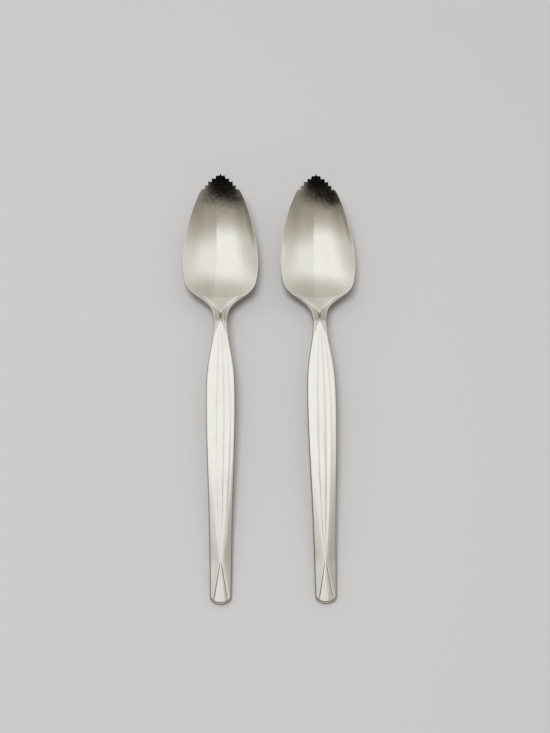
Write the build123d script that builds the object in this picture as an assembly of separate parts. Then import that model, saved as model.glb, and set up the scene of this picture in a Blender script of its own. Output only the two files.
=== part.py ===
from build123d import *
import os
from math import hypot, pi, sin

# A pair of grapefruit spoons lying side by side on a table, tips towards +Y.
# Sizes are in millimetres. Along a spoon, distances run from the tip of the bowl.

# Lengths in plan
BOWL_LENGTH = 45.4
NECK_LENGTH = 10.1
HANDLE_LENGTH = 94.5
WIDEST_FROM_TIP = 33.5
DEEPEST_FROM_TIP = 28.0

# Widths in plan
BOWL_WIDTH = 25.9
NECK_WIDTH = 4.45
HANDLE_WIDTH = 9.65
END_WIDTH = 6.8
BOWL_GAP = 7.8

# Serrated tip
TEETH_EACH_SIDE = 5
TOOTH_PITCH = 1.8
TOOTH_DEPTH = 0.75

# Length of the half oval that rounds off the handle end
END_ROUND = 2.3

# Heights of the upper surface above the table: along the middle, and at the widest rim
TIP_HEIGHT = 10.0
RIM_HEIGHT = 7.1
SHOULDER_HEIGHT = 4.9
NECK_HEIGHT = 8.2
CREST_HEIGHT = 8.0

# Metal thickness along the middle
BOWL_WALL = 1.2
NECK_THICKNESS = 2.8
HANDLE_THICKNESS = 2.0
END_THICKNESS = 1.7

# Depth worn off where the spoon rests on the table
WEAR_FLAT = 0.08

# Fall of the upper side and rise of the under side, from the middle to the edge
NECK_DOME = 0.2
HANDLE_DOME = 0.1
END_DOME = 0.08
NECK_ROUNDING = 0.6
HANDLE_ROUNDING = 0.15

# Rounding, in height, of the line between hollow and neck and of the bend between neck and handle,
# and how far the rounding of the shoulder line reaches into the hollow
SHOULDER_SOFTNESS = 0.12
NECK_SOFTNESS = 0.5
SHOULDER_RUN = 3.0

# How gently the front of the hollow straightens towards the tip: a larger number bends it evenly
FRONT_EVENNESS = 0.8

# Handle flutes: half spacing of the two pairs of valleys at their widest, at the waist
# and at the handle end, and the rise of a rib as a share of its width
INNER_VALLEY = 1.2
OUTER_VALLEY = 3.48
WAIST_INNER = 0.15
WAIST_OUTER = 0.4
FAN_INNER = 2.3
FAN_OUTER = 3.1
WAIST_FROM_END = 13.8
RIB_RISE = 0.03

# Slope of the side bands, down from the outer valleys to the edges of the handle
CREST_FALL = 0.06
WAIST_FALL = 0.14
END_FALL = 0.1

# The metal sheet runs this far beyond the outline that trims it
TRIM_MARGIN = 1.0

NECK_AT = BOWL_LENGTH + NECK_LENGTH
LENGTH = NECK_AT + HANDLE_LENGTH
WAIST_AT = LENGTH - WAIST_FROM_END
CREST_AT = NECK_AT + HANDLE_LENGTH * 0.16
TEETH_END_AT = WIDEST_FROM_TIP * 0.19
SPOON_OFFSET = (BOWL_WIDTH + BOWL_GAP) / 2
FLOOR_HEIGHT = BOWL_WALL - WEAR_FLAT
END_HEIGHT = END_THICKNESS - WEAR_FLAT
TRIM_HEIGHT = 2 * (TIP_HEIGHT + CREST_HEIGHT)


def through(points, at):
    """Value of a smooth curve through the points, straight beyond its two ends."""
    count = len(points)
    steps = [b[0] - a[0] for a, b in zip(points, points[1:])]
    slopes = [(b[1] - a[1]) / (b[0] - a[0]) for a, b in zip(points, points[1:])]
    weights, bends = [0.0], [0.0]
    for i in range(1, count - 1):
        pivot = 2 * (steps[i - 1] + steps[i]) - steps[i - 1] * weights[-1]
        bends.append((6 * (slopes[i] - slopes[i - 1]) - steps[i - 1] * bends[-1]) / pivot)
        weights.append(steps[i] / pivot)
    bends.append(0.0)
    for i in range(count - 2, 0, -1):
        bends[i] -= weights[i] * bends[i + 1]
    if at < points[0][0]:
        return points[0][1] + (slopes[0] - steps[0] * bends[1] / 6) * (at - points[0][0])
    if at > points[-1][0]:
        return points[-1][1] + (slopes[-1] + steps[-1] * bends[-2] / 6) * (at - points[-1][0])
    i = max(k for k in range(count - 1) if points[k][0] <= at)
    left, right = points[i + 1][0] - at, at - points[i][0]
    curved = (bends[i] * left ** 3 + bends[i + 1] * right ** 3) / (6 * steps[i])
    start = (points[i][1] / steps[i] - bends[i] * steps[i] / 6) * left
    end = (points[i + 1][1] / steps[i] - bends[i + 1] * steps[i] / 6) * right
    return curved + start + end


def ease(at, start, end):
    """Smooth change from 0 at the start to 1 at the end."""
    t = min(1.0, max(0.0, (at - start) / (end - start)))
    return t * t * t * (10 - 15 * t + 6 * t * t)


def soft_min(a, b, softness):
    """The lower of two heights, rounded where they cross."""
    near = max(softness - abs(a - b), 0.0) / softness
    return min(a, b) - near * near * softness / 4


def along_handle(share):
    return NECK_AT + HANDLE_LENGTH * share


def bowl_front():
    """Half outline from the tip to the widest place."""
    half = BOWL_WIDTH / 2
    shares = [(0.0, 0.0), (0.095, 0.33), (0.19, 0.515), (0.41, 0.76), (0.64, 0.907), (1.0, 1.0)]
    return [(WIDEST_FROM_TIP * a, half * b) for a, b in shares]


def bowl_heel():
    """Half outline from the widest place to the narrow neck."""
    run = NECK_AT - WIDEST_FROM_TIP
    neck = NECK_WIDTH / 2
    step = BOWL_WIDTH / 2 - neck
    shares = [(0.0, 1.0), (0.31, 0.93), (0.48, 0.745), (0.617, 0.355)]
    shares += [(0.72, 0.145), (0.82, 0.055), (1.0, 0.0)]
    return [(WIDEST_FROM_TIP + run * a, neck + step * b) for a, b in shares]


def handle_side():
    """Half outline of the handle, from the neck to its oval end."""
    neck, wide, end = NECK_WIDTH / 2, HANDLE_WIDTH / 2, END_WIDTH / 2
    return [
        (NECK_AT, neck),
        (along_handle(0.055), neck + (wide - neck) * 0.16),
        (along_handle(0.155), neck + (wide - neck) * 0.74),
        (along_handle(0.29), wide),
        (along_handle(0.65), end + (wide - end) * 0.42),
        (LENGTH - END_ROUND, end)]


def half_width(at):
    if at > NECK_AT:
        return through(handle_side(), at)
    return through(bowl_front() + bowl_heel()[1:], at)


def hollow_height(at):
    """Upper surface along the middle of the bowl."""
    if at < DEEPEST_FROM_TIP:
        share = (DEEPEST_FROM_TIP - at) / DEEPEST_FROM_TIP
        rise = hypot(FRONT_EVENNESS, share) - FRONT_EVENNESS
        full = hypot(FRONT_EVENNESS, 1.0) - FRONT_EVENNESS
        return FLOOR_HEIGHT + (TIP_HEIGHT - FLOOR_HEIGHT) * rise / full
    share = (at - DEEPEST_FROM_TIP) / (BOWL_LENGTH - DEEPEST_FROM_TIP)
    return FLOOR_HEIGHT + (SHOULDER_HEIGHT - FLOOR_HEIGHT) * share ** 2


def handle_height(at):
    """Upper surface along the middle of the handle."""
    fall = CREST_HEIGHT - END_HEIGHT
    return through([
        (CREST_AT, CREST_HEIGHT),
        (along_handle(0.5), END_HEIGHT + fall * 0.76),
        (along_handle(0.75), END_HEIGHT + fall * 0.385),
        (LENGTH, END_HEIGHT)], at)


def neck_height(at):
    """Straight slope of the neck, from the shoulder of the bowl upwards."""
    return SHOULDER_HEIGHT + (NECK_HEIGHT - SHOULDER_HEIGHT) * (at - BOWL_LENGTH) / NECK_LENGTH


def top_height(at):
    """Upper surface along the middle: the hollow, the neck, then the handle."""
    if at < BOWL_LENGTH - SHOULDER_RUN:
        return hollow_height(at)
    height = soft_min(hollow_height(at), neck_height(at), SHOULDER_SOFTNESS)
    return soft_min(height, handle_height(at), NECK_SOFTNESS)


def blend(at, start, neck, crest, end):
    """Smooth change from nothing at the start, through the neck and crest, to the handle end."""
    value = neck * ease(at, start, NECK_AT)
    value += (crest - neck) * ease(at, NECK_AT, CREST_AT)
    value += (end - crest) * ease(at, CREST_AT, LENGTH)
    return value


def thickness(at):
    """Metal thickness along the middle of the spoon."""
    more = [metal - BOWL_WALL for metal in (NECK_THICKNESS, HANDLE_THICKNESS, END_THICKNESS)]
    return BOWL_WALL + blend(at, WIDEST_FROM_TIP, *more)


def curvature(rise, reach):
    """Curvature of an arc that rises this much at this reach from its middle."""
    return 2 * rise / (reach * reach + rise * rise)


def arc_height(bend, x):
    """Rise at x of an arc of this curvature above its middle."""
    return (1 - (1 - (bend * x) ** 2) ** 0.5) / bend


def hollow_curvature(at):
    """Bend of the hollow of the bowl across the spoon, fading out at the neck."""
    widest = curvature(RIM_HEIGHT - hollow_height(WIDEST_FROM_TIP), BOWL_WIDTH / 2)
    shares = [(0.0, 1.98), (0.133, 1.74), (0.25, 1.4), (0.375, 1.22), (0.52, 1.1), (0.7, 1.0)]
    shares += [(0.83, 0.92), (0.92, 0.87), (0.98, 0.84), (1.03, 0.76), (1.1, 0.43), (1.17, 0.04)]
    last = BOWL_LENGTH * shares[-1][0]
    return through([(BOWL_LENGTH * a, widest * b) for a, b in shares], min(at, last))


def top_curvature(at):
    """Bend of the upper side across the spoon: hollow in the bowl, domed on the handle."""
    neck = curvature(NECK_DOME, NECK_WIDTH / 2)
    crest = curvature(HANDLE_DOME, HANDLE_WIDTH / 2)
    end = curvature(END_DOME, END_WIDTH / 2)
    return hollow_curvature(at) - blend(at, BOWL_LENGTH, neck, crest, end)


def under_curvature(at):
    """Bend of the under side across the spoon: even with the hollow, then rounded."""
    even = hollow_curvature(at)
    even = even / (1 + even * BOWL_WALL)
    reach = half_width(min(max(at, TEETH_END_AT), LENGTH))
    rise = arc_height(even, reach)
    rise += blend(at, WIDEST_FROM_TIP, NECK_ROUNDING, HANDLE_ROUNDING, HANDLE_ROUNDING)
    return curvature(rise, reach)


def valleys(at):
    """Half spacing of the inner and of the outer valleys: a long leaf, a waist and a fan."""
    if at > WAIST_AT:
        share = (at - WAIST_AT) / WAIST_FROM_END
        return hypot(WAIST_INNER, FAN_INNER * share), hypot(WAIST_OUTER, FAN_OUTER * share)
    share = max(0.0, (at - NECK_AT) / (WAIST_AT - NECK_AT))
    leaf = max(0.0, sin(pi * share ** 0.85)) ** 0.75
    return hypot(WAIST_INNER, INNER_VALLEY * leaf), hypot(WAIST_OUTER, OUTER_VALLEY * leaf)


def band_fall(at):
    """Slope of the side bands at one place along the handle."""
    fall = CREST_FALL * ease(at, NECK_AT, CREST_AT)
    fall += (WAIST_FALL - CREST_FALL) * ease(at, CREST_AT, WAIST_AT)
    fall += (END_FALL - WAIST_FALL) * ease(at, WAIST_AT, LENGTH)
    return fall


def section(at, fluted):
    """Closed cross-section of the metal sheet at one place along the spoon."""
    y = LENGTH / 2 - at
    reach = half_width(min(max(at, TEETH_END_AT), LENGTH)) + TRIM_MARGIN
    middle = top_height(at)
    top_bend = top_curvature(at)
    under_middle = middle - thickness(at)
    under_bend = under_curvature(at)
    inner, outer = valleys(at)
    fall = band_fall(at)

    def on_top(x, lift=0.0):
        drop = fall * max(0.0, abs(x) - outer)
        return (x, y, middle + arc_height(top_bend, x) - drop + lift)

    def underneath(x):
        return (x, y, under_middle + arc_height(under_bend, x))

    stops = [-reach, reach]
    if fluted:
        stops = [-reach, -outer, -inner, inner, outer, reach]
    rise = RIB_RISE * ease(at, NECK_AT, NECK_AT + NECK_LENGTH)
    edges = []
    for a, b in zip(stops, stops[1:]):
        edges.append(ThreePointArc(on_top(a), on_top((a + b) / 2, rise * (b - a)), on_top(b)))
    edges.append(Line(on_top(reach), underneath(reach)))
    edges.append(ThreePointArc(underneath(reach), underneath(0.0), underneath(-reach)))
    edges.append(Line(underneath(-reach), on_top(-reach)))
    return Wire(edges)


def sheet():
    """Bowl, neck and fluted handle as one pressed strip, wider than the finished spoon."""
    bowl = [-0.03, 0.06, 0.133, 0.25, 0.37, 0.48, 0.58, 0.68, 0.76, 0.83, 0.89, 0.94, 0.975]
    neck = [0.0, 0.15, 0.35, 0.65, 1.0]
    handle = [0.0, 0.03, 0.07, 0.12, 0.18, 0.25, 0.33, 0.42, 0.51, 0.6, 0.68, 0.75, 0.8]
    fan = [-0.2, 0.0, 0.15, 0.4, 0.7, 1.0, 1.1]
    front = [section(BOWL_LENGTH * a, False) for a in bowl]
    front += [section(BOWL_LENGTH + NECK_LENGTH * a, False) for a in neck]
    back = [section(along_handle(a), True) for a in handle]
    back += [section(WAIST_AT + WAIST_FROM_END * a, True) for a in fan]
    return Solid.make_loft(front) + Solid.make_loft(back)


def in_plan(point):
    return (point[1], LENGTH / 2 - point[0])


def half_outline():
    """Edges of the right half of the outline, from the tip to the middle of the handle end."""
    side = Spline(*[in_plan(p) for p in bowl_front()], tangents=[(1, -0.6), (0, -1)])
    zigzag = []
    for step in range(2 * TEETH_EACH_SIDE + 1):
        run = step * TOOTH_PITCH / 2
        place = side.position_at(run, PositionMode.LENGTH)
        if step % 2:
            heading = side.tangent_at(run, PositionMode.LENGTH)
            place += Vector(heading.Y, -heading.X) * TOOTH_DEPTH
        zigzag.append(place)
    teeth = [Line(a, b) for a, b in zip(zigzag, zigzag[1:])]
    smooth = side.trim(TEETH_EACH_SIDE * TOOTH_PITCH / side.length, 1.0)
    heel = Spline(*[in_plan(p) for p in bowl_heel()], tangents=[(0, -1), (0, -1)])
    handle = Spline(*[in_plan(p) for p in handle_side()], tangents=[(0, -1), (0, -1)])
    middle = (0, END_ROUND - LENGTH / 2)
    oval = EllipticalCenterArc(middle, END_WIDTH / 2, END_ROUND, start_angle=270, arc_size=90)
    return teeth + [smooth, heel, handle, oval]


def outline():
    right = half_outline()
    left = [mirror(edge, about=Plane.YZ) for edge in right]
    return make_face(right + left)


def spoon():
    return sheet() & extrude(outline(), amount=TRIM_HEIGHT)


os.makedirs("parts", exist_ok=True)
one = spoon()
export_step(Pos(-SPOON_OFFSET, 0, 0) * one, "parts/left_spoon.step")
export_step(Pos(SPOON_OFFSET, 0, 0) * one, "parts/right_spoon.step")
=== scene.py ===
import math
import bmesh
import bpy
from mathutils import Matrix, Vector


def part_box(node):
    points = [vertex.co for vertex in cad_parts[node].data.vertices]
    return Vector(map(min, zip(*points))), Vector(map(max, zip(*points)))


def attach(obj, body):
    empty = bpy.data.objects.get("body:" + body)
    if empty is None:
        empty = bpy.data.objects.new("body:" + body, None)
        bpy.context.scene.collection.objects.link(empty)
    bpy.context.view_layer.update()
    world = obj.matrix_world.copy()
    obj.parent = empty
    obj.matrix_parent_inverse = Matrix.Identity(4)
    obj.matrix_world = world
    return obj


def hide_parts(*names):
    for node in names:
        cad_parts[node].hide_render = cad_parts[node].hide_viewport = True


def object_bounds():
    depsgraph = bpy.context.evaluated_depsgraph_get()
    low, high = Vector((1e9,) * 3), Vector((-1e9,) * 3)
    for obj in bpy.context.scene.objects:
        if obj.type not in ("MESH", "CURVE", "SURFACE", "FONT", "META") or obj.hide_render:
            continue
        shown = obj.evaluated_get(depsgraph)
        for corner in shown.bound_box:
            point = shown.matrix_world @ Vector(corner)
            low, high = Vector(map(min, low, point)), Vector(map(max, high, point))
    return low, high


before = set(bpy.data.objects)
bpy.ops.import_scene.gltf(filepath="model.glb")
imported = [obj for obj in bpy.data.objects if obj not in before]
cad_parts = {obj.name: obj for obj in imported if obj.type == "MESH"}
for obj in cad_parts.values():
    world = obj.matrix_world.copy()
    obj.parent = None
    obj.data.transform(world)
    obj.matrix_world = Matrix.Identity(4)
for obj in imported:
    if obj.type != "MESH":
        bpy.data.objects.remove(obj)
cad_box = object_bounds()

# A pair of silver-plated grapefruit spoons on a pale table, tips towards +Y.
# Shapes are worked out in millimetres, with distances along a spoon taken from its tip.
MM = 0.001
SPOONS = ("left_spoon", "right_spoon")
LOW_CORNER, HIGH_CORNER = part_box(SPOONS[0])
LENGTH = (HIGH_CORNER.y - LOW_CORNER.y) / MM
BOWL_WIDTH = (HIGH_CORNER.x - LOW_CORNER.x) / MM

# Lengths and widths in plan
BOWL_LENGTH = 45.4
NECK_LENGTH = 10.1
WIDEST_FROM_TIP = 33.5
DEEPEST_FROM_TIP = 28.0
NECK_WIDTH = 4.45
HANDLE_WIDTH = 9.65
END_WIDTH = 6.8
END_ROUND = 2.3

# Serrated tip
TEETH_EACH_SIDE = 5
TOOTH_PITCH = 1.8
TOOTH_DEPTH = 0.75
TIP_SLOPE = 0.6
TIP_CURVE = 0.008

# Heights of the upper surface, and metal thickness
TIP_HEIGHT = 10.0
RIM_HEIGHT = 7.1
SHOULDER_HEIGHT = 4.9
NECK_HEIGHT = 8.2
CREST_HEIGHT = 8.0
BOWL_WALL = 1.2
NECK_THICKNESS = 2.8
HANDLE_THICKNESS = 2.0
END_THICKNESS = 1.7
WEAR_FLAT = 0.08

# Fall of the upper side and rise of the under side, from the middle to the edge
NECK_DOME = 0.2
HANDLE_DOME = 0.1
END_DOME = 0.08
NECK_ROUNDING = 0.6
HANDLE_ROUNDING = 0.15

# Rounding of the shoulder between hollow and neck and of the bend between neck and handle, reach of the
# shoulder's rounding into the hollow, ridge along the shoulder, and evenness of the hollow's front
SHOULDER_SOFTNESS = 0.12
NECK_SOFTNESS = 0.5
SHOULDER_RUN = 3.0
SHOULDER_RIDGE = 0.03
RIDGE_HALF_WIDTH = 0.4
FRONT_EVENNESS = 0.8

# Rounding of the rim: at the teeth, round the bowl and along the handle, the stretch past the teeth where
# it grows, and its share on the under side
TOOTH_LIP = 0.06
BOWL_LIP = 0.2
HANDLE_LIP = 0.45
LIP_GROWTH = (6.0, 10.0)
UNDER_LIP = 0.6

# Handle flutes: half spacing of the two pairs of valleys at the leaf, the waist and the end, rise of a rib
# as a share of its width, slopes of the side bands, sink of the fan, shape of the leaf, and the run in
# which the ribs rise
INNER_VALLEY = 1.2
OUTER_VALLEY = 3.48
WAIST_INNER = 0.15
WAIST_OUTER = 0.4
FAN_INNER = 2.3
FAN_OUTER = 3.1
WAIST_FROM_END = 13.8
RIB_RISE = 0.03
CREST_FALL = 0.06
WAIST_FALL = 0.14
END_FALL = 0.1
FAN_SINK = 0.1
LEAF_SKEW = 0.85
LEAF_FULLNESS = 0.75
RIB_RUN = NECK_LENGTH * 0.6

# Cut lines of the fan: half width, depth, run from the waist to full depth, and where they run out
LINE_HALF_WIDTH = 0.14
FAN_LINE_DEPTH = 0.09
LINE_RUN = 3.0
LINE_STOP = 2.4
LINE_END = 1.2

# Tongue of the heel and leaf of the handle, which point at each other in the neck, the ridges beside
# them, and the slit between their points
TONGUE_POINT = 51.6
TONGUE_SPREAD = 1.0
LEAF_POINT = 55.3
LEAF_SPREAD = 0.38
FLANK_RIDGES = 2.5
FLANK_DEPTH = 0.06
FLANK_EDGE = 0.2
LEAST_FLANK = 0.1
SLIT_AT = 53.0
SLIT_HALF_LENGTH = 1.2
SLIT_HALF_WIDTH = 0.32
SLIT_DEPTH = 0.22

# Share of darkening: painted shade on the rim and on the side bands, tarnishing along the flutes and beside
# the tongue and leaf, painted shadow in the slit and tarnishing in the cut lines, and how evenly the
# tarnishing lies beside the tongue and leaf instead of in the grooves there
RIM_PAINTED_SHADE = 1.0
BAND_PAINTED_SHADE = 0.25
FLUTE_TARNISH = 0.15
FLANK_TARNISH = 0.55
FLANK_EVENNESS = 0.35
LINE_TARNISH_AND_SLIT_SHADOW = 0.95

# Share of the lip's fall at which the rim's painted shade starts and is full, on the bowl, along the handle
# and round its oval end, and the stretches past the neck and about the oval end in which it changes
BOWL_RIM = (0.3, 0.95)
HANDLE_RIM = (0.04, 0.22)
END_RIM = (0.1, 0.4)
RIM_RUN = 8.0
END_RUN = (-1.0, 0.5)

# Toned flutes: half width, run from the neck to full toning, and shares of the handle where it fades.
# Side bands darkened with painted shade: share of the handle where it starts, and its soft edge about the
# outer valleys.
FLUTE_HALF_WIDTH = 0.4
FLUTE_RUN = 4.0
FLUTE_FADE = (0.35, 0.6)
BAND_START = 0.45
BAND_EDGE = (-0.1, 0.3)

# Places along a spoon and heights that follow from the sizes, and reach of the outermost ribs past the edge
NECK_AT = BOWL_LENGTH + NECK_LENGTH
HANDLE_LENGTH = LENGTH - NECK_AT
WAIST_AT = LENGTH - WAIST_FROM_END
CREST_AT = NECK_AT + HANDLE_LENGTH * 0.16
END_AT = LENGTH - END_ROUND
TEETH_END_AT = WIDEST_FROM_TIP * 0.19
HEEL_AT = BOWL_LENGTH - 4
LEAF_OPEN_AT = NECK_AT + 9
FAN_NEAR_AT = WAIST_AT - 8
FLUTES_AT = NECK_AT + 1
FLOOR_HEIGHT = BOWL_WALL - WEAR_FLAT
END_HEIGHT = END_THICKNESS - WEAR_FLAT
OUTER_MARGIN = 1.0

# Mesh density: crossways strips from the middle to the lip, rounds of the lip, rows on each flank of a
# tooth and round the handle end, and spacing of the rows along the bowl, the neck, the handle and the fan
STRIPS = (5, 1, 1, 5, 1, 1, 7)
LIP_ROUNDS = 4
ROWS_PER_FLANK = 2
END_ROWS = 8
BOWL_ROW = 0.75
NECK_ROW = 0.3
HANDLE_ROW = 1.0
FAN_ROW = 0.5

# Crossways spacing where there is little room: most of a row that its lip takes, shares of the rest at
# which the bowl's strips part, most of the way out that the two valleys may lie, and most of the inner
# and of the middle rib that the fine strips beside a valley take
LIP_LIMIT = 0.3
INNER_SPLIT = 0.2
OUTER_SPLIT = 0.45
INNER_LIMIT = 0.8
OUTER_LIMIT = 0.93
FINE_INNER = 0.5
FINE_MIDDLE = 0.35
LEAST_EDGE = 0.0001

# Rim vertices closer than this are one, and edges that turn more than this stay sharp
MERGE_WITHIN = 0.002
SHARP_TURN = math.radians(50)


def through(points, at):
    """Value of a smooth curve through the points, straight beyond its two ends."""
    count = len(points)
    steps = [b[0] - a[0] for a, b in zip(points, points[1:])]
    slopes = [(b[1] - a[1]) / (b[0] - a[0]) for a, b in zip(points, points[1:])]
    weights, bends = [0.0], [0.0]
    for i in range(1, count - 1):
        pivot = 2 * (steps[i - 1] + steps[i]) - steps[i - 1] * weights[-1]
        bends.append((6 * (slopes[i] - slopes[i - 1]) - steps[i - 1] * bends[-1]) / pivot)
        weights.append(steps[i] / pivot)
    bends.append(0.0)
    for i in range(count - 2, 0, -1):
        bends[i] -= weights[i] * bends[i + 1]
    if at < points[0][0]:
        return points[0][1] + (slopes[0] - steps[0] * bends[1] / 6) * (at - points[0][0])
    if at > points[-1][0]:
        return points[-1][1] + (slopes[-1] + steps[-1] * bends[-2] / 6) * (at - points[-1][0])
    i = max(k for k in range(count - 1) if points[k][0] <= at)
    left, right = points[i + 1][0] - at, at - points[i][0]
    curved = (bends[i] * left ** 3 + bends[i + 1] * right ** 3) / (6 * steps[i])
    start = (points[i][1] / steps[i] - bends[i] * steps[i] / 6) * left
    end = (points[i + 1][1] / steps[i] - bends[i + 1] * steps[i] / 6) * right
    return curved + start + end


def ease(at, start, end):
    """Smooth change from 0 at the start to 1 at the end."""
    t = min(1.0, max(0.0, (at - start) / (end - start)))
    return t * t * t * (10 - 15 * t + 6 * t * t)


def mix(a, b, share):
    return a + (b - a) * share


def soft_min(a, b, softness):
    """The lower of two heights, rounded where they cross."""
    near = max(softness - abs(a - b), 0.0) / softness
    return min(a, b) - near * near * softness / 4


def along_handle(share):
    return NECK_AT + HANDLE_LENGTH * share


# Outline in plan
def bowl_side():
    """Half outline of the bowl, from the tip past its widest place to the neck."""
    half, neck = BOWL_WIDTH / 2, NECK_WIDTH / 2
    run = NECK_AT - WIDEST_FROM_TIP
    front = [(0.0, 0.0), (0.095, 0.33), (0.19, 0.515), (0.41, 0.76), (0.64, 0.907), (1.0, 1.0)]
    heel = [(0.31, 0.93), (0.48, 0.745), (0.617, 0.355), (0.72, 0.145), (0.82, 0.055), (1.0, 0.0)]
    side = [(WIDEST_FROM_TIP * a, half * b) for a, b in front]
    return side + [(WIDEST_FROM_TIP + run * a, mix(neck, half, b)) for a, b in heel]


def handle_side():
    """Half outline of the handle, from the neck to its oval end."""
    neck, wide, end = NECK_WIDTH / 2, HANDLE_WIDTH / 2, END_WIDTH / 2
    return [
        (NECK_AT, neck),
        (along_handle(0.055), mix(neck, wide, 0.16)),
        (along_handle(0.155), mix(neck, wide, 0.74)),
        (along_handle(0.29), wide),
        (along_handle(0.65), mix(end, wide, 0.42)),
        (END_AT, end)]


def half_width(at):
    if at > NECK_AT:
        return through(handle_side(), at)
    return through(bowl_side(), at)


def tip_edge(run):
    """Place on the uncut edge at a distance round it from the tip, and its inward direction."""
    step = 0.02
    x, at = 0.0, 0.0
    for _ in range(round(run / step)):
        slope = TIP_SLOPE + 3 * TIP_CURVE * x * x
        x += step / math.hypot(1.0, slope)
        at = TIP_SLOPE * x + TIP_CURVE * x ** 3
    slope = TIP_SLOPE + 3 * TIP_CURVE * x * x
    return x, at, Vector((-slope, 1.0)).normalized()


def teeth_points():
    """Points and valleys of the teeth on one side, from the tip outwards."""
    points = []
    for step in range(2 * TEETH_EACH_SIDE + 1):
        x, at, inward = tip_edge(step * TOOTH_PITCH / 2)
        cut = TOOTH_DEPTH * (step % 2)
        points.append((x + inward.x * cut, at + inward.y * cut))
    return points


def stations():
    """Rows of the mesh: place on the middle line, half width, and place of the row's edge."""
    rows = []
    points = teeth_points()
    last = points[-1][1]
    shares = [k / ROWS_PER_FLANK for k in range(ROWS_PER_FLANK)]
    flanks = [(a, b, share) for a, b in zip(points, points[1:]) for share in shares]
    for i, (a, b, share) in enumerate(flanks):
        rows.append((last * i / len(flanks), mix(a[0], b[0], share), mix(a[1], b[1], share)))
    rows.append((last, points[-1][0], last))
    for start, end, spacing in (
            (last, HEEL_AT, BOWL_ROW),
            (HEEL_AT, LEAF_OPEN_AT, NECK_ROW),
            (LEAF_OPEN_AT, FAN_NEAR_AT, HANDLE_ROW),
            (FAN_NEAR_AT, END_AT, FAN_ROW)):
        count = round((end - start) / spacing)
        for k in range(1, count + 1):
            at = mix(start, end, k / count)
            rows.append((at, half_width(at), at))
    for k in range(1, END_ROWS + 1):
        turn = math.radians(90 * k / END_ROWS)
        rows.append((END_AT + END_ROUND * math.sin(turn), END_WIDTH / 2, END_AT))
    return rows


def row_bend(middle, share):
    """Share of the way from a row's middle to its edge place: straight at the tip, oval at the end."""
    if middle < DEEPEST_FROM_TIP:
        return share
    return 1 - math.sqrt(max(0.0, 1 - share * share))


# Heights of the two faces of the metal
def hollow_height(at):
    """Upper surface along the middle of the bowl."""
    if at < DEEPEST_FROM_TIP:
        share = (DEEPEST_FROM_TIP - at) / DEEPEST_FROM_TIP
        rise = math.hypot(FRONT_EVENNESS, share) - FRONT_EVENNESS
        return mix(FLOOR_HEIGHT, TIP_HEIGHT, rise / (math.hypot(FRONT_EVENNESS, 1.0) - FRONT_EVENNESS))
    share = (at - DEEPEST_FROM_TIP) / (BOWL_LENGTH - DEEPEST_FROM_TIP)
    return mix(FLOOR_HEIGHT, SHOULDER_HEIGHT, share ** 2)


def handle_height(at):
    """Upper surface along the middle of the handle."""
    return through([
        (CREST_AT, CREST_HEIGHT),
        (along_handle(0.5), mix(END_HEIGHT, CREST_HEIGHT, 0.76)),
        (along_handle(0.75), mix(END_HEIGHT, CREST_HEIGHT, 0.385)),
        (LENGTH, END_HEIGHT)], at)


def top_height(at):
    """Upper surface along the middle: the hollow, the straight neck, then the handle."""
    if at < BOWL_LENGTH - SHOULDER_RUN:
        return hollow_height(at)
    neck = mix(SHOULDER_HEIGHT, NECK_HEIGHT, (at - BOWL_LENGTH) / NECK_LENGTH)
    height = soft_min(hollow_height(at), neck, SHOULDER_SOFTNESS)
    return soft_min(height, handle_height(at), NECK_SOFTNESS)


def blend(at, start, neck, crest, end):
    """Smooth change from nothing at the start, through the neck and crest, to the handle end."""
    value = neck * ease(at, start, NECK_AT)
    value += (crest - neck) * ease(at, NECK_AT, CREST_AT)
    value += (end - crest) * ease(at, CREST_AT, LENGTH)
    return value


def thickness(at):
    more = [metal - BOWL_WALL for metal in (NECK_THICKNESS, HANDLE_THICKNESS, END_THICKNESS)]
    return BOWL_WALL + blend(at, WIDEST_FROM_TIP, *more)


def curvature(rise, reach):
    """Curvature of an arc that rises this much at this reach from its middle."""
    return 2 * rise / (reach * reach + rise * rise)


def arc_height(bend, x):
    """Rise at x of an arc of this curvature above its middle."""
    if abs(bend) < 1e-9:
        return 0.0
    return (1 - math.sqrt(1 - (bend * x) ** 2)) / bend


def hollow_curvature(at):
    """Bend of the hollow of the bowl across the spoon, fading out at the neck."""
    widest = curvature(RIM_HEIGHT - hollow_height(WIDEST_FROM_TIP), BOWL_WIDTH / 2)
    shares = [(0.0, 1.98), (0.133, 1.74), (0.25, 1.4), (0.375, 1.22), (0.52, 1.1), (0.7, 1.0)]
    shares += [(0.83, 0.92), (0.92, 0.87), (0.98, 0.84), (1.03, 0.76), (1.1, 0.43), (1.17, 0.04)]
    last = BOWL_LENGTH * shares[-1][0]
    return through([(BOWL_LENGTH * a, widest * b) for a, b in shares], min(at, last))


def top_curvature(at):
    """Bend of the upper side across the spoon: hollow in the bowl, domed on the handle."""
    neck = curvature(NECK_DOME, NECK_WIDTH / 2)
    crest = curvature(HANDLE_DOME, HANDLE_WIDTH / 2)
    end = curvature(END_DOME, END_WIDTH / 2)
    return hollow_curvature(at) - blend(at, BOWL_LENGTH, neck, crest, end)


def under_curvature(at):
    """Bend of the under side across the spoon: even with the hollow, then rounded."""
    even = hollow_curvature(at)
    even = even / (1 + even * BOWL_WALL)
    reach = half_width(min(max(at, TEETH_END_AT), END_AT))
    rise = arc_height(even, reach)
    rise += blend(at, WIDEST_FROM_TIP, NECK_ROUNDING, HANDLE_ROUNDING, HANDLE_ROUNDING)
    return curvature(rise, reach)


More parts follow.
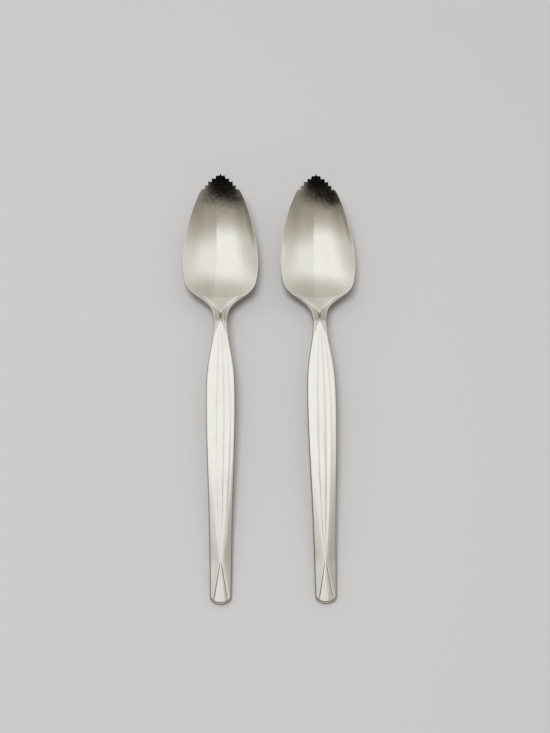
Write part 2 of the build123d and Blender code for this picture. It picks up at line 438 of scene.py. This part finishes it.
def valleys(at):
    """Half spacing of the inner and of the outer valleys: a long leaf, a waist and a fan."""
    if at > WAIST_AT:
        share = (at - WAIST_AT) / WAIST_FROM_END
        return math.hypot(WAIST_INNER, FAN_INNER * share), math.hypot(WAIST_OUTER, FAN_OUTER * share)
    share = max(0.0, (at - NECK_AT) / (WAIST_AT - NECK_AT))
    leaf = max(0.0, math.sin(math.pi * share ** LEAF_SKEW)) ** LEAF_FULLNESS
    return math.hypot(WAIST_INNER, INNER_VALLEY * leaf), math.hypot(WAIST_OUTER, OUTER_VALLEY * leaf)


def ribs(x, at):
    """Rise of the rounded ribs between the valleys."""
    reach = half_width(min(at, END_AT)) + OUTER_MARGIN
    inner, outer = valleys(at)
    start, end = outer, reach
    if x < inner:
        start, end = -inner, inner
    elif x < outer:
        start, end = inner, outer
    place = (x - (start + end) / 2) / ((end - start) / 2)
    rise = RIB_RISE * ease(at, NECK_AT, NECK_AT + RIB_RUN)
    return rise * (end - start) * (1 - place * place)


def band_fall(x, at):
    """Fall of the side bands from the outer valleys to the edges of the handle."""
    slope = CREST_FALL * ease(at, NECK_AT, CREST_AT)
    slope += (WAIST_FALL - CREST_FALL) * ease(at, CREST_AT, WAIST_AT)
    slope += (END_FALL - WAIST_FALL) * ease(at, WAIST_AT, LENGTH)
    return slope * max(0.0, x - valleys(at)[1])


def fan_sink(x, at):
    """Depth of the flat fan below the side bands."""
    inner, outer = valleys(at)
    share = max(0.0, (at - WAIST_AT) / WAIST_FROM_END)
    return FAN_SINK * share * (1 - ease(x, inner, outer))


def near_line(x, at):
    """How close a point is to the inner valley line: 1 on it, 0 away from it."""
    return max(0.0, 1 - abs(x - valleys(at)[0]) / LINE_HALF_WIDTH)


def line_depth(at):
    """Depth of the two cut lines of the fan, running out at both ends."""
    depth = FAN_LINE_DEPTH * ease(at, WAIST_AT, WAIST_AT + LINE_RUN)
    return depth * (1 - ease(at, LENGTH - LINE_STOP, LENGTH - LINE_END))


def slit(x, at):
    """Share of the slit's depth at a point of the neck."""
    run = (at - SLIT_AT) / SLIT_HALF_LENGTH
    return math.exp(-((x / SLIT_HALF_WIDTH) ** 2) - run ** 4)


def flank(x, at):
    """Share of being beside the tongue or the leaf, and share of the depth of the grooves there."""
    inside = max(0.0, (TONGUE_POINT - at) * TONGUE_SPREAD, (at - LEAF_POINT) * LEAF_SPREAD)
    room = half_width(at) - inside
    if x < inside or room < LEAST_FLANK:
        return 0.0, 0.0
    fade = min(1.0, room)
    groove = (1 - math.cos(2 * math.pi * FLANK_RIDGES * (x - inside) / room)) / 2
    return fade * ease(x, inside, inside + FLANK_EDGE), fade * fade * groove


def neck_relief(x, at):
    """Fall of the neck's flanks below the tongue, and of the slit at its point."""
    groove = flank(x, at)[1]
    return -FLANK_DEPTH * groove - SLIT_DEPTH * slit(x, at)


def tarnish_and_shade_share(x, at):
    """Share of tarnishing and of painted shade on the upper side of the neck and handle: painted shadow in
    the slit and painted shade on the side bands.
    """
    if at < BOWL_LENGTH:
        return 0.0
    inner, outer = valleys(at)
    beside, groove = flank(x, at)
    # Painted shadow darkening the slit, and tarnishing beside the tongue and leaf.
    share = LINE_TARNISH_AND_SLIT_SHADOW * slit(x, at) + FLANK_TARNISH * mix(groove, beside, FLANK_EVENNESS)
    share += LINE_TARNISH_AND_SLIT_SHADOW * near_line(x, at) * ease(at, WAIST_AT, WAIST_AT + LINE_RUN)
    fade_start, fade_end = (along_handle(place) for place in FLUTE_FADE)
    fluted = ease(at, NECK_AT, NECK_AT + FLUTE_RUN) * (1 - ease(at, fade_start, fade_end))
    share += FLUTE_TARNISH * max(0.0, 1 - abs(x - inner) / FLUTE_HALF_WIDTH) * fluted
    # Painted shade darkening the sloping side bands.
    share += BAND_PAINTED_SHADE * ease(x - outer, *BAND_EDGE) * ease(at, along_handle(BAND_START), WAIST_AT)
    return min(1.0, share)


def top_surface(x, at):
    height = top_height(at) + arc_height(top_curvature(at), x)
    height += SHOULDER_RIDGE * math.exp(-((at - BOWL_LENGTH) / RIDGE_HALF_WIDTH) ** 2)
    if at > BOWL_LENGTH:
        height += ribs(x, at) + neck_relief(x, at)
        height -= band_fall(x, at) + fan_sink(x, at) + line_depth(at) * near_line(x, at)
    return height


def under_surface(x, at):
    return top_height(at) - thickness(at) + arc_height(under_curvature(at), x)


def lip_radius(at):
    radius = mix(TOOTH_LIP, BOWL_LIP, ease(at, *LIP_GROWTH))
    return mix(radius, HANDLE_LIP, ease(at, HEEL_AT, NECK_AT))


def lip_drop(inset, radius):
    """Fall of the rounded lip at a distance in from the outline."""
    share = 1 - min(1.0, max(0.0, inset / radius))
    return radius * (1 - math.sqrt(1 - share * share))


def rim_painted_shade(at, fall):
    """Share of painted shade where the lip has fallen by this share of its radius: more of it on the
    handle. The painted shade darkens the outer lip and the rim wall, standing for the dim surroundings and
    shadow they mirror.
    """
    past_neck = ease(at, NECK_AT, NECK_AT + RIM_RUN)
    at_end = ease(at - END_AT, *END_RUN)
    ramps = zip(BOWL_RIM, HANDLE_RIM, END_RIM)
    start, full = (mix(mix(bowl, handle, past_neck), end, at_end) for bowl, handle, end in ramps)
    return RIM_PAINTED_SHADE * ease(fall, start, full)


# Mesh of one spoon
def columns(at, edge):
    """Distances of one row's vertices from the middle line, gathered at the valleys and the lip."""
    lip = min(lip_radius(at), edge * LIP_LIMIT)
    flat = edge - lip
    inner, outer = valleys(at)
    share = ease(at, BOWL_LENGTH - SHOULDER_RUN, FLUTES_AT)
    outer = min(mix(OUTER_SPLIT * flat, outer, share), flat * OUTER_LIMIT)
    inner = min(mix(INNER_SPLIT * flat, inner, share), outer * INNER_LIMIT)
    fine = min(LINE_HALF_WIDTH, inner * FINE_INNER, (outer - inner) * FINE_MIDDLE)
    stops = [0.0, inner - fine, inner, inner + fine, outer - fine, outer, outer + fine, flat]
    places = [0.0]
    for a, b, count in zip(stops, stops[1:], STRIPS):
        places += [mix(a, b, k / count) for k in range(1, count + 1)]
    for k in range(1, LIP_ROUNDS + 1):
        places.append(flat + lip * math.sin(math.radians(90 * k / LIP_ROUNDS)))
    return places


def outline_inset(x, at, edge):
    """Distance of a point in from the outline."""
    past = at - END_AT
    if past <= 0:
        return edge - x
    oval = math.hypot(x / edge, past / END_ROUND)
    steepness = math.hypot(x / edge ** 2, past / END_ROUND ** 2) / oval
    return (1 - oval) / steepness


def pressed_face(shell, rows, upper):
    """Adds the upper or the under face of a spoon to its shell."""
    half = sum(STRIPS) + LIP_ROUNDS
    grid = bmesh.ops.create_grid(shell, x_segments=2 * half, y_segments=len(rows) - 1, size=1.0)
    spread = [columns(at, max(edge, LEAST_EDGE)) for at, edge, _ in rows]
    # Vertex attribute holding both tarnishing and painted shade and shadow.
    tarnish_and_shade = shell.verts.layers.float["tarnish_and_shade"]
    underside = shell.verts.layers.float["underside"]
    for vert in grid["verts"]:
        column = round(vert.co.x * half)
        row = round((vert.co.y + 1) / 2 * (len(rows) - 1))
        middle, edge, edge_at = rows[row]
        x = spread[row][abs(column)]
        share = x / edge if edge > LEAST_EDGE else 0.0
        at = mix(middle, edge_at, row_bend(middle, share))
        radius = lip_radius(at)
        drop = lip_drop(outline_inset(x, at, edge), radius)
        if upper:
            height = top_surface(x, at) - drop
            vert[tarnish_and_shade] = tarnish_and_shade_share(x, at)
        else:
            height = max(0.0, under_surface(x, at) + drop * UNDER_LIP)
            vert[underside] = 1.0
        # Painted shade darkening the outer lip and the rim wall.
        vert[tarnish_and_shade] = max(vert[tarnish_and_shade], rim_painted_shade(at, drop / radius))
        vert.co = (math.copysign(x, column), LENGTH / 2 - at, height)


def spoon_mesh(name, middle_x):
    """One spoon: two pressed faces joined by the rim."""
    shell = bmesh.new()
    shell.verts.layers.float.new("tarnish_and_shade")
    shell.verts.layers.float.new("underside")
    rows = stations()
    for upper in (True, False):
        pressed_face(shell, rows, upper)
    bmesh.ops.remove_doubles(shell, verts=shell.verts, dist=MERGE_WITHIN)
    rim = [edge for edge in shell.edges if edge.is_boundary]
    bmesh.ops.bridge_loops(shell, edges=rim)
    bmesh.ops.recalc_face_normals(shell, faces=shell.faces)
    for face in shell.faces:
        face.smooth = True
    for edge in shell.edges:
        edge.smooth = edge.calc_face_angle(0.0) < SHARP_TURN
    bmesh.ops.scale(shell, vec=(MM, MM, MM), verts=shell.verts)
    bmesh.ops.translate(shell, vec=(middle_x, 0.0, 0.0), verts=shell.verts)
    mesh = bpy.data.meshes.new(name)
    shell.to_mesh(mesh)
    shell.free()
    return mesh


# Materials: colours of the polished, clouded and tarnished metal, the tarnished colour also serving for
# painted shade and shadow, and of the table
POLISHED = (0.95, 0.94, 0.883, 1.0)
CLOUDED = (0.915, 0.892, 0.828, 1.0)
TARNISH_AND_SHADE_COLOUR = (0.2, 0.165, 0.125, 1.0)
TABLE_GREY = (0.56, 0.56, 0.558, 1.0)

# Sizes along X, Y and Z, in metres, of polishing waves, scratches and clouds, and the waves' height
WAVE_SIZES = (0.0012, 0.02, 0.0012)
SCRATCH_SIZES = (0.00016, 0.006, 0.00016)
CLOUD_SIZES = (0.006, 0.011, 0.006)
WAVE_HEIGHT = 0.00003

# Levels of noise at which scratches and clouds start and are full, depth of a scratch as a share of the
# waves' height, most darkening from tarnishing in the grooves and from painted shade and shadow, and least
# and added toning of the underside
SCRATCH_LEVELS = (0.6, 0.72)
CLOUD_LEVELS = (0.4, 0.75)
SCRATCH_DEPTH = 0.1
TARNISH_AND_SHADE_TONE = 0.9
UNDER_TONE = 0.5
UNDER_CLOUD_TONE = 0.3

# Roughness of polished and of clouded metal, and what the tarnishing and painted shade and the scratches
# add to it
POLISHED_ROUGHNESS = 0.07
CLOUDED_ROUGHNESS = 0.13
TARNISH_AND_SHADE_ROUGHNESS = 0.2
SCRATCH_ROUGHNESS = 0.05

# Places of the two colours and of the result among a colour mix node's sockets
MIX_A, MIX_B, MIX_RESULT = 6, 7, 2


def feed(tree, source, socket):
    """Links a socket to its source, or sets it to a plain value."""
    if isinstance(source, bpy.types.NodeSocket):
        tree.links.new(source, socket)
    else:
        socket.default_value = source


def maths(tree, operation, first, second):
    node = tree.nodes.new("ShaderNodeMath")
    node.operation = operation
    feed(tree, first, node.inputs[0])
    feed(tree, second, node.inputs[1])
    return node.outputs[0]


def ramp(tree, value, start, end, low=0.0, high=1.0):
    """Value that eases from low to high as another goes from start to end."""
    node = tree.nodes.new("ShaderNodeMapRange")
    node.interpolation_type = "SMOOTHSTEP"
    feed(tree, value, node.inputs["Value"])
    for name, number in (("From Min", start), ("From Max", end), ("To Min", low), ("To Max", high)):
        node.inputs[name].default_value = number
    return node.outputs["Result"]


def mixed(tree, factor, first, second):
    """Colour that goes from the first to the second with the factor."""
    node = tree.nodes.new("ShaderNodeMix")
    node.data_type = "RGBA"
    feed(tree, factor, node.inputs[0])
    feed(tree, first, node.inputs[MIX_A])
    feed(tree, second, node.inputs[MIX_B])
    return node.outputs[MIX_RESULT]


def stretched_noise(tree, vector, sizes, detail):
    """Noise whose spots have these sizes along X, Y and Z, in metres."""
    mapping = tree.nodes.new("ShaderNodeMapping")
    mapping.inputs["Scale"].default_value = [1 / size for size in sizes]
    feed(tree, vector, mapping.inputs["Vector"])
    noise = tree.nodes.new("ShaderNodeTexNoise")
    noise.inputs["Scale"].default_value = 1.0
    noise.inputs["Detail"].default_value = detail
    feed(tree, mapping.outputs["Vector"], noise.inputs["Vector"])
    return noise.outputs["Fac"]


def new_group(name, inputs, outputs):
    group = bpy.data.node_groups.new(name, "ShaderNodeTree")
    for label, kind in inputs:
        group.interface.new_socket(label, in_out="INPUT", socket_type=kind)
    for label, kind in outputs:
        group.interface.new_socket(label, in_out="OUTPUT", socket_type=kind)
    start = group.nodes.new("NodeGroupInput")
    end = group.nodes.new("NodeGroupOutput")
    return group, start.outputs, end.inputs


def polish_marks():
    """Lengthwise polishing waves and hairline scratches."""
    group, given, result = new_group(
        "polish_marks", [("Vector", "NodeSocketVector")],
        [("Height", "NodeSocketFloat"), ("Scratches", "NodeSocketFloat")])
    waves = stretched_noise(group, given["Vector"], WAVE_SIZES, 2.0)
    hairs = stretched_noise(group, given["Vector"], SCRATCH_SIZES, 3.0)
    scratches = ramp(group, hairs, *SCRATCH_LEVELS)
    height = maths(group, "SUBTRACT", waves, maths(group, "MULTIPLY", scratches, SCRATCH_DEPTH))
    feed(group, height, result["Height"])
    feed(group, scratches, result["Scratches"])
    return group


def tarnish_and_painted_shade():
    """Cloudy toning that gathers in the grooves and on the underside, with painted shade on the rim and
    side bands and painted shadow in the slit.
    """
    group, given, result = new_group(
        "tarnish_and_painted_shade",
        [("Vector", "NodeSocketVector"), ("Soiled", "NodeSocketFloat"), ("Underside", "NodeSocketFloat")],
        [("Mask", "NodeSocketFloat"), ("Cloud", "NodeSocketFloat")])
    cloud = ramp(group, stretched_noise(group, given["Vector"], CLOUD_SIZES, 4.0), *CLOUD_LEVELS)
    # Tarnishing in the grooves, together with the painted shade of the rim and side bands and the painted
    # shadow of the slit.
    grooves = maths(group, "MULTIPLY", given["Soiled"], TARNISH_AND_SHADE_TONE)
    dullness = maths(group, "ADD", maths(group, "MULTIPLY", cloud, UNDER_CLOUD_TONE), UNDER_TONE)
    below = maths(group, "MULTIPLY", given["Underside"], dullness)
    feed(group, maths(group, "MAXIMUM", grooves, below), result["Mask"])
    feed(group, cloud, result["Cloud"])
    return group


def placed_group(tree, group, **sources):
    node = tree.nodes.new("ShaderNodeGroup")
    node.node_tree = group
    for label, source in sources.items():
        feed(tree, source, node.inputs[label])
    return node.outputs


def attribute(tree, name):
    node = tree.nodes.new("ShaderNodeAttribute")
    node.attribute_name = name
    return node.outputs["Fac"]


def silver_plate():
    """Worn polished silver plate, with toning where a cloth does not reach, painted shade on the rim and
    side bands, and painted shadow in the slit.
    """
    material = bpy.data.materials.new("silver_plate")
    material.use_nodes = True
    tree = material.node_tree
    shader = tree.nodes["Principled BSDF"]
    place = tree.nodes.new("ShaderNodeTexCoord").outputs["Object"]
    marks = placed_group(tree, polish_marks(), Vector=place)
    tarnish_and_shade, underside = attribute(tree, "tarnish_and_shade"), attribute(tree, "underside")
    toned_and_shaded = placed_group(tree, tarnish_and_painted_shade(), Vector=place, Soiled=tarnish_and_shade, Underside=underside)
    bright = mixed(tree, toned_and_shaded["Cloud"], POLISHED, CLOUDED)
    feed(tree, mixed(tree, toned_and_shaded["Mask"], bright, TARNISH_AND_SHADE_COLOUR), shader.inputs["Base Color"])
    rough = ramp(tree, toned_and_shaded["Cloud"], 0.0, 1.0, POLISHED_ROUGHNESS, CLOUDED_ROUGHNESS)
    for mask, added in ((toned_and_shaded["Mask"], TARNISH_AND_SHADE_ROUGHNESS), (marks["Scratches"], SCRATCH_ROUGHNESS)):
        rough = maths(tree, "ADD", rough, maths(tree, "MULTIPLY", mask, added))
    feed(tree, rough, shader.inputs["Roughness"])
    bump = tree.nodes.new("ShaderNodeBump")
    bump.inputs["Strength"].default_value = 1.0
    bump.inputs["Distance"].default_value = WAVE_HEIGHT
    feed(tree, marks["Height"], bump.inputs["Height"])
    feed(tree, bump.outputs["Normal"], shader.inputs["Normal"])
    shader.inputs["Metallic"].default_value = 1.0
    return material


def table_surface():
    material = bpy.data.materials.new("pale_table")
    material.use_nodes = True
    shader = material.node_tree.nodes["Principled BSDF"]
    shader.inputs["Base Color"].default_value = TABLE_GREY
    shader.inputs["Roughness"].default_value = 0.9
    shader.inputs["Specular IOR Level"].default_value = 0.1
    return material


# Pieces, with the table's half width and its gap below the spoons in metres
TABLE_HALF_WIDTH = 6.0
TABLE_GAP = 0.02 * MM


def add_spoons():
    silver = silver_plate()
    for name in SPOONS:
        low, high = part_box(name)
        mesh = spoon_mesh("plated_" + name, (low.x + high.x) / 2)
        mesh.materials.append(silver)
        piece = bpy.data.objects.new("plated_" + name, mesh)
        bpy.context.scene.collection.objects.link(piece)
        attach(piece, name)
        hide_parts(name)


def add_table():
    """Table top, a hair below the spoons."""
    slab = bmesh.new()
    bmesh.ops.create_grid(slab, x_segments=1, y_segments=1, size=TABLE_HALF_WIDTH)
    bmesh.ops.translate(slab, vec=(0.0, 0.0, cad_box[0][2] - TABLE_GAP), verts=slab.verts)
    mesh = bpy.data.meshes.new("table")
    slab.to_mesh(mesh)
    slab.free()
    mesh.materials.append(table_surface())
    table = bpy.data.objects.new("table", mesh)
    bpy.context.scene.collection.objects.link(table)


# Light: tints of the dim and bright surroundings, with the glow between them, and the lamp's place, width
# and power
DIM_TINT = (1.0, 0.92, 0.78, 1.0)
BRIGHT_TINT = (1.0, 1.0, 1.0, 1.0)
TINT_LEVELS = (0.25, 0.85)
LAMP_AT = Vector((-0.16, -0.02, 0.98))
LAMP_WIDTH = 0.5
LAMP_POWER = 5.7

# Bend, and lean where there is one, of the level lines of the overhead light, of its far end, of the dark
# patch on the near side and of the light below that patch
NEAR_BEND = -0.13
FAR_BEND = (0.15, 0.035)
PATCH_BEND = (-0.105, 0.018)
LOW_BEND = -0.3

# Ramps of light: start and end among the directions, and strength at each
LEFT_GLOW = (-0.32, 0.12, 0.31, 0.88)
RIGHT_GLOW = (-0.32, 0.35, 0.32, 0.79)
RIGHT_TO_LEFT = (0.175, 0.135)
RIGHT_DIMMING = ((0.6, 0.9, 1.0, 0.82),)
LEFT_DIMMING = ((-0.48, -0.95, 1.0, 0.64), (-0.92, -1.0, 1.0, 0.5))
FAR_DIMMING = ((0.65, 0.9, 1.0, 0.6), (0.9, 1.05, 1.0, 0.45))
NEAR_PATCH = (-0.262, -0.37, 1.0, 0.01)
LOW_LIGHT = (-0.55, -0.7, 0.0, 2.0)


def bent(tree, along, across, bend, skew=0.0):
    """Lengthwise direction whose level lines bend towards both sides and lean to one."""
    squared = maths(tree, "MULTIPLY", across, across)
    curve = maths(tree, "ADD", along, maths(tree, "MULTIPLY", squared, bend))
    return maths(tree, "ADD", curve, maths(tree, "MULTIPLY", across, skew))


def overhead_glow(tree, along, across):
    """Light from overhead, brighter on the left, and dimmer towards both sides and both ends."""
    near = bent(tree, along, across, NEAR_BEND)
    far = bent(tree, along, across, *FAR_BEND)
    on_left = ramp(tree, across, *RIGHT_TO_LEFT)
    on_right = maths(tree, "SUBTRACT", 1.0, on_left)
    left = maths(tree, "MULTIPLY", ramp(tree, near, *LEFT_GLOW), on_left)
    right = maths(tree, "MULTIPLY", ramp(tree, near, *RIGHT_GLOW), on_right)
    glow = maths(tree, "ADD", left, right)
    for value, dimmings in ((across, RIGHT_DIMMING), (across, LEFT_DIMMING), (far, FAR_DIMMING)):
        for dimming in dimmings:
            glow = maths(tree, "MULTIPLY", glow, ramp(tree, value, *dimming))
    return glow


def near_patch(tree, along, across):
    """Dark patch high on the near side, with light again below it."""
    patch = ramp(tree, bent(tree, along, across, *PATCH_BEND), *NEAR_PATCH)
    below = ramp(tree, bent(tree, along, across, LOW_BEND), *LOW_LIGHT)
    return maths(tree, "ADD", patch, below)


def add_world():
    """Plain surroundings, white where they are bright and warmer where they are dim."""
    world = bpy.data.worlds.new("surroundings")
    bpy.context.scene.world = world
    world.use_nodes = True
    tree = world.node_tree
    direction = tree.nodes.new("ShaderNodeSeparateXYZ")
    feed(tree, tree.nodes.new("ShaderNodeTexCoord").outputs["Generated"], direction.inputs[0])
    across, along = direction.outputs["X"], direction.outputs["Y"]
    glow = maths(tree, "MULTIPLY", overhead_glow(tree, along, across), near_patch(tree, along, across))
    tint = mixed(tree, ramp(tree, glow, *TINT_LEVELS), DIM_TINT, BRIGHT_TINT)
    background = tree.nodes["Background"]
    feed(tree, tint, background.inputs["Color"])
    feed(tree, glow, background.inputs["Strength"])


def add_lamp():
    """Soft round lamp above the spoons, aimed at them and not mirrored in them."""
    lamp = bpy.data.lights.new("overhead", "AREA")
    lamp.shape = "DISK"
    lamp.size = LAMP_WIDTH
    lamp.energy = LAMP_POWER
    holder = bpy.data.objects.new("overhead", lamp)
    holder.location = LAMP_AT
    holder.rotation_euler = (-LAMP_AT).to_track_quat("-Z", "Y").to_euler()
    holder.visible_glossy = False
    bpy.context.scene.collection.objects.link(holder)


# Camera
CAMERA_AT = Vector((-16.13, -142.77, 410.01)) * MM
CAMERA_YAW = math.radians(-6.84)
CAMERA_PITCH = math.radians(69.932)
CAMERA_ROLL = math.radians(6.366)
FOCAL_PIXELS = 1278.0
IMAGE_HEIGHT = 733.0


def add_camera():
    data = bpy.data.cameras.new("camera")
    data.sensor_fit = "VERTICAL"
    data.lens = data.sensor_height * FOCAL_PIXELS / IMAGE_HEIGHT
    data.clip_start = 0.01
    camera = bpy.data.objects.new("camera", data)
    turn = Matrix.Rotation(CAMERA_YAW, 4, "Z") @ Matrix.Rotation(math.pi / 2 - CAMERA_PITCH, 4, "X")
    camera.matrix_world = Matrix.Translation(CAMERA_AT) @ turn @ Matrix.Rotation(CAMERA_ROLL, 4, "Z")
    bpy.context.scene.collection.objects.link(camera)
    bpy.context.scene.camera = camera


add_spoons()
add_table()
add_world()
add_lamp()
add_camera()
bpy.context.scene.view_settings.view_transform = "Standard"
